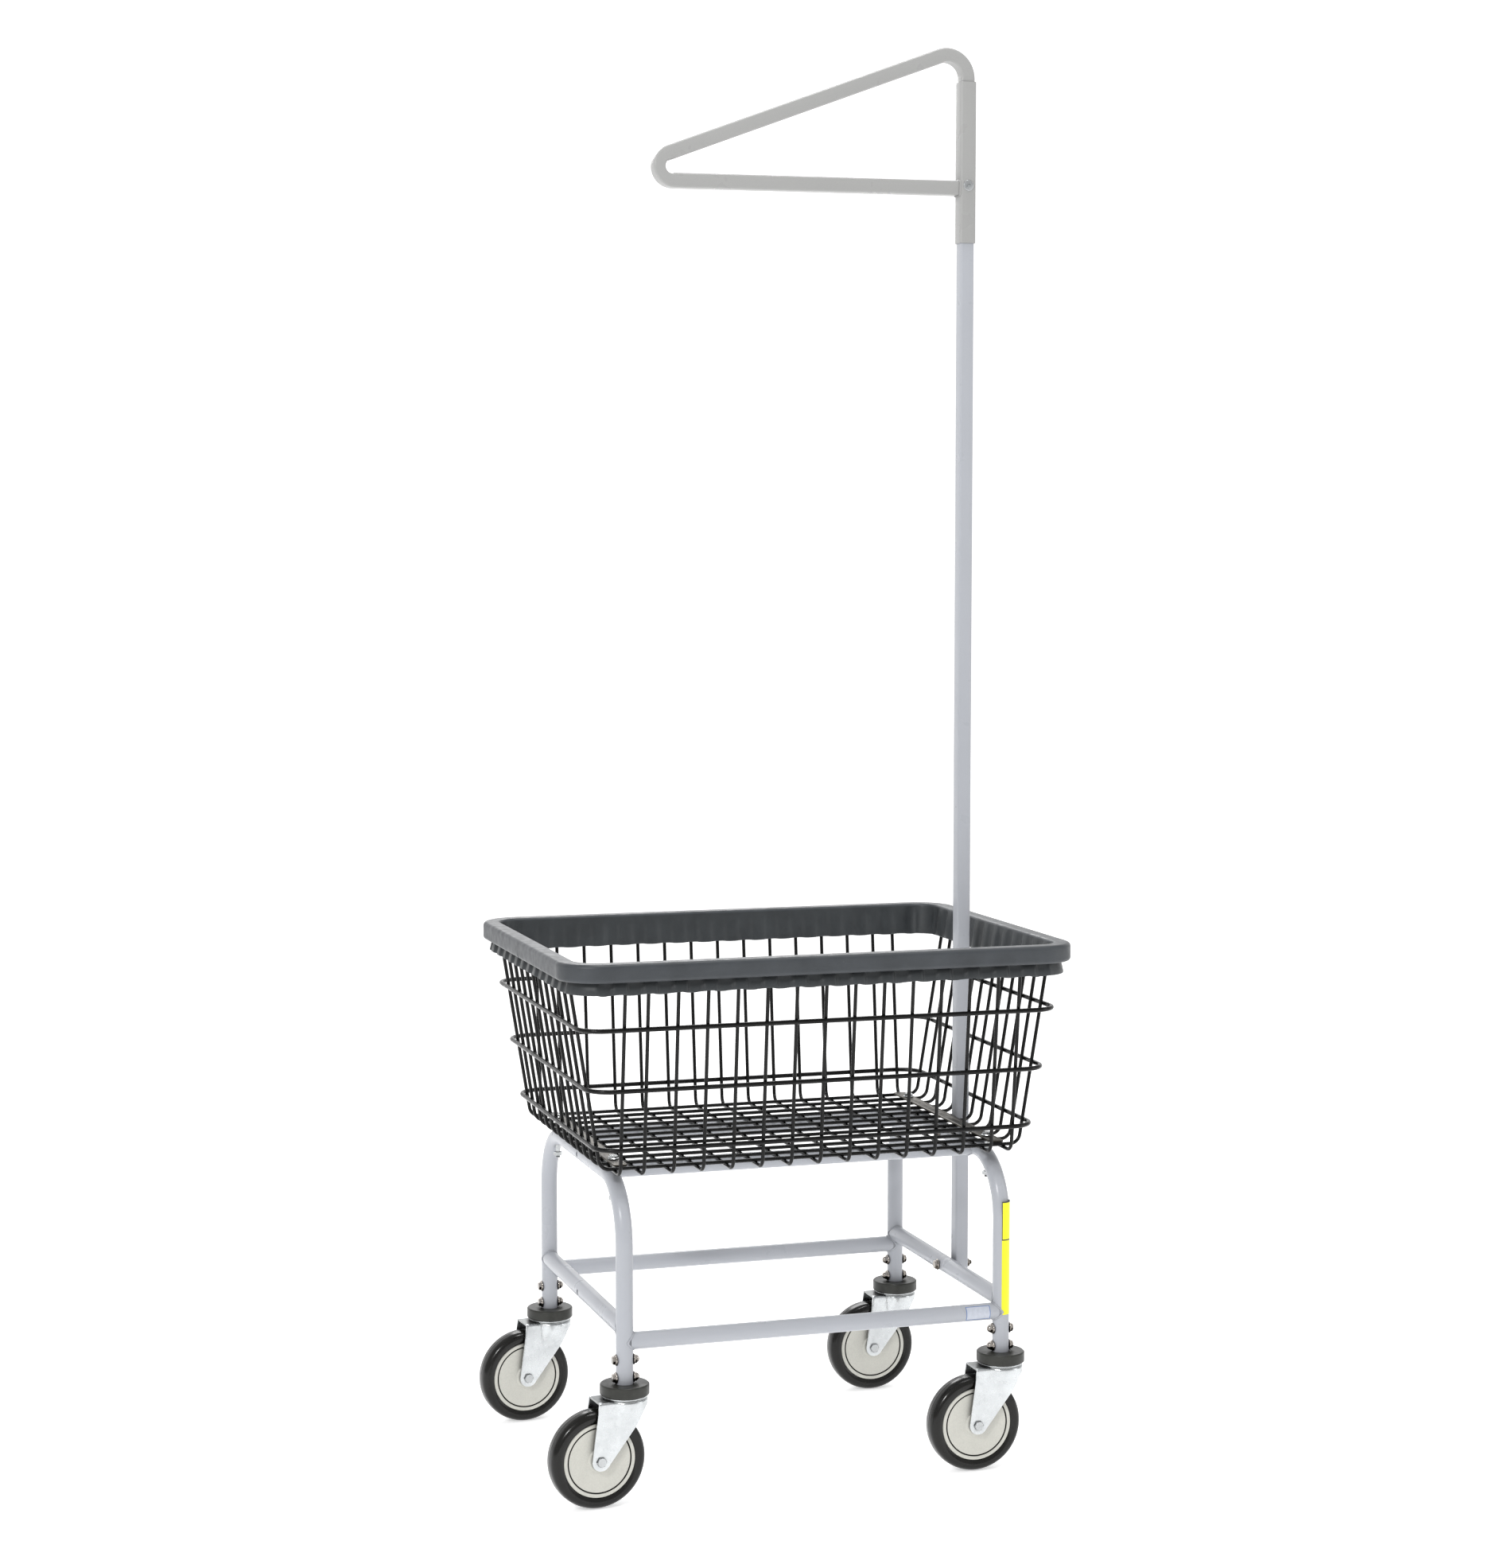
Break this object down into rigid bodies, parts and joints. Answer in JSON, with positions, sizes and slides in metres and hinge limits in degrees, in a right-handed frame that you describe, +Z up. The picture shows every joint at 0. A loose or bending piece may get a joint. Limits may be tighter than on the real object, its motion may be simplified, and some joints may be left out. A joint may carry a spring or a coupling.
{
  "type": "laundry cart",
  "caption": "Wire laundry basket with a plastic rim on a tubular steel frame, with swivel casters and a square pole that carries a triangular hanger arm.",
  "frame": {"origin": "on the floor under the middle of the whole cart's box", "axes": "+Z up, +X towards the pole end along the basket's length, +Y towards the rear"},
  "size_m": [0.7076, 0.52, 1.8864],
  "materials": {
    "silver_paint": "gloss",
    "warm_paint": "gloss",
    "black_vinyl": "gloss",
    "rim_plastic": "satin",
    "bumper_rubber": "satin",
    "tyre_rubber": "gloss",
    "core_plastic": "satin",
    "zinc": "bright",
    "nickel": "polished",
    "bare_steel": "dull"
  },
  "bodies": {
    "root": {"end_frame_left": "silver_paint", "end_frame_right": "silver_paint", "top_rail_front": "silver_paint", "top_rail_rear": "silver_paint", "lower_rail_front": "silver_paint", "lower_rail_rear": "silver_paint", "lower_rail_left": "silver_paint", "lower_rail_right": "silver_paint", "pole": "silver_paint", "hanger_sleeve": "warm_paint", "hanger_arm": "warm_paint", "basket_floor_and_end_wires": "black_vinyl", "basket_front_wires": "black_vinyl", "basket_rear_wires": "black_vinyl", "basket_ring_lower": "black_vinyl", "basket_ring_middle": "black_vinyl", "basket_ring_upper": "black_vinyl", "rim_bumper": "rim_plastic", "hold_down_strap_left": "bare_steel", "hold_down_strap_right": "bare_steel", "strap_bolt_left_front": "nickel", "strap_bolt_left_rear": "nickel", "strap_bolt_right_front": "nickel", "strap_bolt_right_rear": "nickel", "hanger_screw": "nickel", "pole_bolt_lower": "nickel", "pole_bolt_upper": "nickel", "bumper_disc_front_left": "bumper_rubber", "caster_stem_front_left": "zinc", "leg_bolt_lower_front_left": "nickel", "leg_bolt_upper_front_left": "nickel", "bumper_disc_rear_left": "bumper_rubber", "caster_stem_rear_left": "zinc", "leg_bolt_lower_rear_left": "nickel", "leg_bolt_upper_rear_left": "nickel", "bumper_disc_front_right": "bumper_rubber", "caster_stem_front_right": "zinc", "leg_bolt_lower_front_right": "nickel", "leg_bolt_upper_front_right": "nickel", "bumper_disc_rear_right": "bumper_rubber", "caster_stem_rear_right": "zinc", "leg_bolt_lower_rear_right": "nickel", "leg_bolt_upper_rear_right": "nickel"},
    "caster_front_left": {"fork_front_left": "zinc", "axle_bolt_front_left": "zinc"},
    "wheel_front_left": {"tyre_front_left": "tyre_rubber", "wheel_core_front_left": "core_plastic"},
    "caster_rear_left": {"fork_rear_left": "zinc", "axle_bolt_rear_left": "zinc"},
    "wheel_rear_left": {"tyre_rear_left": "tyre_rubber", "wheel_core_rear_left": "core_plastic"},
    "caster_front_right": {"fork_front_right": "zinc", "axle_bolt_front_right": "zinc"},
    "wheel_front_right": {"tyre_front_right": "tyre_rubber", "wheel_core_front_right": "core_plastic"},
    "caster_rear_right": {"fork_rear_right": "zinc", "axle_bolt_rear_right": "zinc"},
    "wheel_rear_right": {"tyre_rear_right": "tyre_rubber", "wheel_core_rear_right": "core_plastic"}
  },
  "joints": [
    {"name": "swivel_front_left", "type": "hinge", "parent": "root", "child": "caster_front_left", "pos_m": [-0.25115, -0.201, 0.139], "axis": [0, 0, 1], "continuous": true},
    {"name": "roll_front_left", "type": "hinge", "parent": "caster_front_left", "child": "wheel_front_left", "pos_m": [-0.28997, -0.20474, 0.0635], "axis": [-0.0958, 0.9954, 0], "continuous": true},
    {"name": "swivel_rear_left", "type": "hinge", "parent": "root", "child": "caster_rear_left", "pos_m": [-0.25115, 0.201, 0.139], "axis": [0, 0, 1], "continuous": true},
    {"name": "roll_rear_left", "type": "hinge", "parent": "caster_rear_left", "child": "wheel_rear_left", "pos_m": [-0.28994, 0.19692, 0.0635], "axis": [-0.1045, 0.9945, 0], "continuous": true},
    {"name": "swivel_front_right", "type": "hinge", "parent": "root", "child": "caster_front_right", "pos_m": [0.26485, -0.201, 0.139], "axis": [0, 0, 1], "continuous": true},
    {"name": "roll_front_right", "type": "hinge", "parent": "caster_front_right", "child": "wheel_front_right", "pos_m": [0.22585, -0.20134, 0.0635], "axis": [-0.0087, 1, 0], "continuous": true},
    {"name": "swivel_rear_right", "type": "hinge", "parent": "root", "child": "caster_rear_right", "pos_m": [0.26485, 0.201, 0.139], "axis": [0, 0, 1], "continuous": true},
    {"name": "roll_rear_right", "type": "hinge", "parent": "caster_rear_right", "child": "wheel_rear_right", "pos_m": [0.22585, 0.20066, 0.0635], "axis": [-0.0087, 1, 0], "continuous": true}
  ]
}
